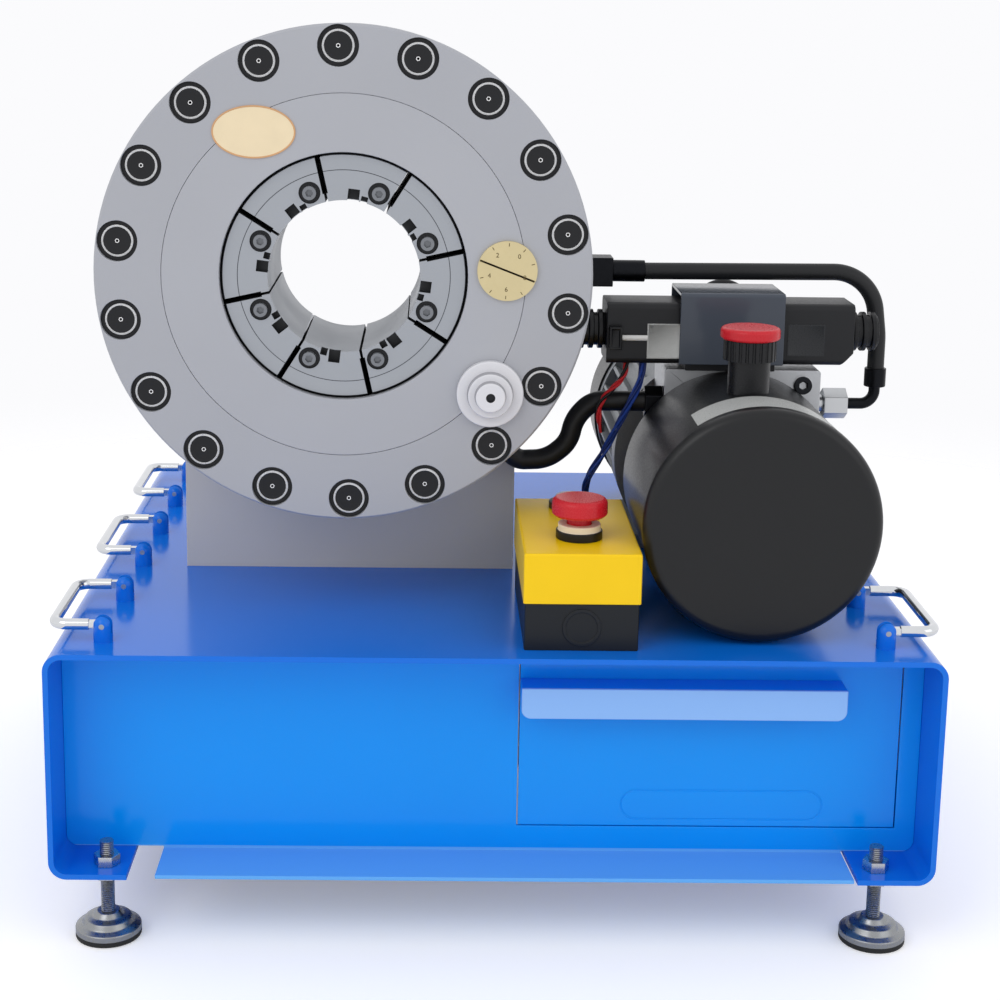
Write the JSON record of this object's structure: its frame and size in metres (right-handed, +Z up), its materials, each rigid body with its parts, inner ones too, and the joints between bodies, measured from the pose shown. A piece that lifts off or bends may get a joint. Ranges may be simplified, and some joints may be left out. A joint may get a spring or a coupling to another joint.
{
  "type": "hose_crimping_machine",
  "caption": "Bench hydraulic hose crimping machine: double-cone die head on a steel base with oil tank, valve, hoses, button station, drawer and folding handles.",
  "frame": {"origin": "On the floor under the middle of the base, between the four feet.", "axes": "+Z up, -Y is the front with the crimping head and the drawer, +X to the right seen from the front."},
  "size_m": [0.644, 0.5558, 0.6585],
  "materials": {
    "panel_blue": "gloss",
    "zinc_steel": "satin",
    "chrome": "gloss",
    "head_grey": "satin",
    "black_steel": "satin",
    "die_steel": "satin",
    "brass_plate": "satin",
    "white_plastic": "gloss",
    "dark_plastic": "matte",
    "yellow_plastic": "satin",
    "red_plastic": "gloss",
    "tank_black": "satin",
    "aluminium_block": "satin",
    "cover_grey": "satin",
    "hose_rubber": "matte",
    "wire_blue": "matte",
    "wire_red": "matte"
  },
  "bodies": {
    "machine": {"base_frame": "panel_blue", "button_collars": "dark_plastic", "cone_ring": "head_grey", "cover_screws": "black_steel", "cylinder_body": "head_grey", "dial_plate": "brass_plate", "fan_cover": "tank_black", "filler_neck": "dark_plastic", "foot_nuts": "zinc_steel", "foot_pads": "zinc_steel", "foot_studs": "zinc_steel", "front_panel": "panel_blue", "handle_pins": "zinc_steel", "handle_posts": "panel_blue", "head_cover": "head_grey", "hose_fittings": "black_steel", "left_solenoid": "dark_plastic", "lifting_eye": "black_steel", "motor_housing": "aluminium_block", "oil_tank": "tank_black", "pedestal": "head_grey", "pressure_hose": "hose_rubber", "pump_block": "aluminium_block", "rail_channels": "zinc_steel", "rear_cover": "head_grey", "rear_panel": "panel_blue", "red_leads": "wire_red", "return_hose": "hose_rubber", "right_solenoid": "dark_plastic", "solenoid_nuts": "dark_plastic", "station_base": "dark_plastic", "station_lid": "yellow_plastic", "station_loom": "wire_blue", "valve_body": "black_steel", "wiring_cover": "cover_grey"},
    "drawer": {"drawer_front": "panel_blue", "drawer_pull": "panel_blue", "drawer_tray": "panel_blue", "drawer_runners": "zinc_steel"},
    "left_handle_front_body": {"left_handle_front": "chrome"},
    "left_handle_middle_body": {"left_handle_middle": "chrome"},
    "left_handle_rear_body": {"left_handle_rear": "chrome"},
    "right_handle_front_body": {"right_handle_front": "chrome"},
    "right_handle_middle_body": {"right_handle_middle": "chrome"},
    "right_handle_rear_body": {"right_handle_rear": "chrome"},
    "piston": {"ring_piston": "die_steel"},
    "die_1": {"crimp_die_1": "die_steel"},
    "die_2": {"crimp_die_2": "die_steel"},
    "die_3": {"crimp_die_3": "die_steel"},
    "die_4": {"crimp_die_4": "die_steel"},
    "die_5": {"crimp_die_5": "die_steel"},
    "die_6": {"crimp_die_6": "die_steel"},
    "die_7": {"crimp_die_7": "die_steel"},
    "die_8": {"crimp_die_8": "die_steel"},
    "knob": {"die_stop_knob": "white_plastic"},
    "cap": {"filler_cap": "red_plastic"},
    "rotor": {"motor_shaft": "zinc_steel", "cooling_fan": "dark_plastic"},
    "estop": {"estop_button": "red_plastic"},
    "push": {"push_button": "white_plastic"}
  },
  "joints": [
    {"name": "drawer_slide", "type": "slide", "parent": "machine", "child": "drawer", "axis": [0, -1, 0], "range_m": [0, 0.3]},
    {"name": "left_handle_front_hinge", "type": "hinge", "parent": "machine", "child": "left_handle_front_body", "pos_m": [-0.282, -0.193, 0.233], "axis": [0, 1, 0], "range_deg": [0, 95]},
    {"name": "left_handle_middle_hinge", "type": "hinge", "parent": "machine", "child": "left_handle_middle_body", "pos_m": [-0.282, -0.005, 0.233], "axis": [0, 1, 0], "range_deg": [0, 95]},
    {"name": "left_handle_rear_hinge", "type": "hinge", "parent": "machine", "child": "left_handle_rear_body", "pos_m": [-0.282, 0.183, 0.233], "axis": [0, 1, 0], "range_deg": [0, 95]},
    {"name": "right_handle_front_hinge", "type": "hinge", "parent": "machine", "child": "right_handle_front_body", "pos_m": [0.282, -0.193, 0.233], "axis": [0, -1, 0], "range_deg": [0, 95]},
    {"name": "right_handle_middle_hinge", "type": "hinge", "parent": "machine", "child": "right_handle_middle_body", "pos_m": [0.282, -0.005, 0.233], "axis": [0, -1, 0], "range_deg": [0, 95]},
    {"name": "right_handle_rear_hinge", "type": "hinge", "parent": "machine", "child": "right_handle_rear_body", "pos_m": [0.282, 0.183, 0.233], "axis": [0, -1, 0], "range_deg": [0, 95]},
    {"name": "piston_slide", "type": "slide", "parent": "machine", "child": "piston", "axis": [0, -1, 0], "range_m": [-0.056, 0.008]},
    {"name": "die_1_slide", "type": "slide", "parent": "machine", "child": "die_1", "axis": [-0.3657, -0.8944, -0.2575], "range_m": [-0.03131, 0.00448]},
    {"name": "die_2_slide", "type": "slide", "parent": "machine", "child": "die_2", "axis": [-0.0765, -0.8944, -0.4406], "range_m": [-0.03131, 0.00448]},
    {"name": "die_3_slide", "type": "slide", "parent": "machine", "child": "die_3", "axis": [0.2575, -0.8944, -0.3657], "range_m": [-0.03131, 0.00448]},
    {"name": "die_4_slide", "type": "slide", "parent": "machine", "child": "die_4", "axis": [0.4406, -0.8944, -0.0765], "range_m": [-0.03131, 0.00448]},
    {"name": "die_5_slide", "type": "slide", "parent": "machine", "child": "die_5", "axis": [0.3657, -0.8944, 0.2575], "range_m": [-0.03131, 0.00448]},
    {"name": "die_6_slide", "type": "slide", "parent": "machine", "child": "die_6", "axis": [0.0765, -0.8944, 0.4406], "range_m": [-0.03131, 0.00448]},
    {"name": "die_7_slide", "type": "slide", "parent": "machine", "child": "die_7", "axis": [-0.2575, -0.8944, 0.3657], "range_m": [-0.03131, 0.00448]},
    {"name": "die_8_slide", "type": "slide", "parent": "machine", "child": "die_8", "axis": [-0.4406, -0.8944, 0.0765], "range_m": [-0.03131, 0.00448]},
    {"name": "knob_turn", "type": "hinge", "parent": "machine", "child": "knob", "pos_m": [-0.0047, -0.175, 0.3911], "axis": [0, -1, 0], "range_deg": [-150, 150]},
    {"name": "cap_turn", "type": "hinge", "parent": "machine", "child": "cap", "pos_m": [0.187, -0.168, 0.437], "axis": [0, 0, 1], "range_deg": [0, 90]},
    {"name": "rotor_turn", "type": "hinge", "parent": "machine", "child": "rotor", "pos_m": [0.19, 0.1, 0.309], "axis": [0, 1, 0], "continuous": true},
    {"name": "estop_press", "type": "slide", "parent": "machine", "child": "estop", "axis": [0, 0, -1], "range_m": [0, 0.005]},
    {"name": "push_press", "type": "slide", "parent": "machine", "child": "push", "axis": [0, 0, -1], "range_m": [0, 0.003], "stiffness_N_per_m": 400}
  ],
  "couplings": [
    {"joint": "die_1_slide", "follows": "piston_slide", "ratio": 0.55902},
    {"joint": "die_2_slide", "follows": "piston_slide", "ratio": 0.55902},
    {"joint": "die_3_slide", "follows": "piston_slide", "ratio": 0.55902},
    {"joint": "die_4_slide", "follows": "piston_slide", "ratio": 0.55902},
    {"joint": "die_5_slide", "follows": "piston_slide", "ratio": 0.55902},
    {"joint": "die_6_slide", "follows": "piston_slide", "ratio": 0.55902},
    {"joint": "die_7_slide", "follows": "piston_slide", "ratio": 0.55902},
    {"joint": "die_8_slide", "follows": "piston_slide", "ratio": 0.55902}
  ]
}
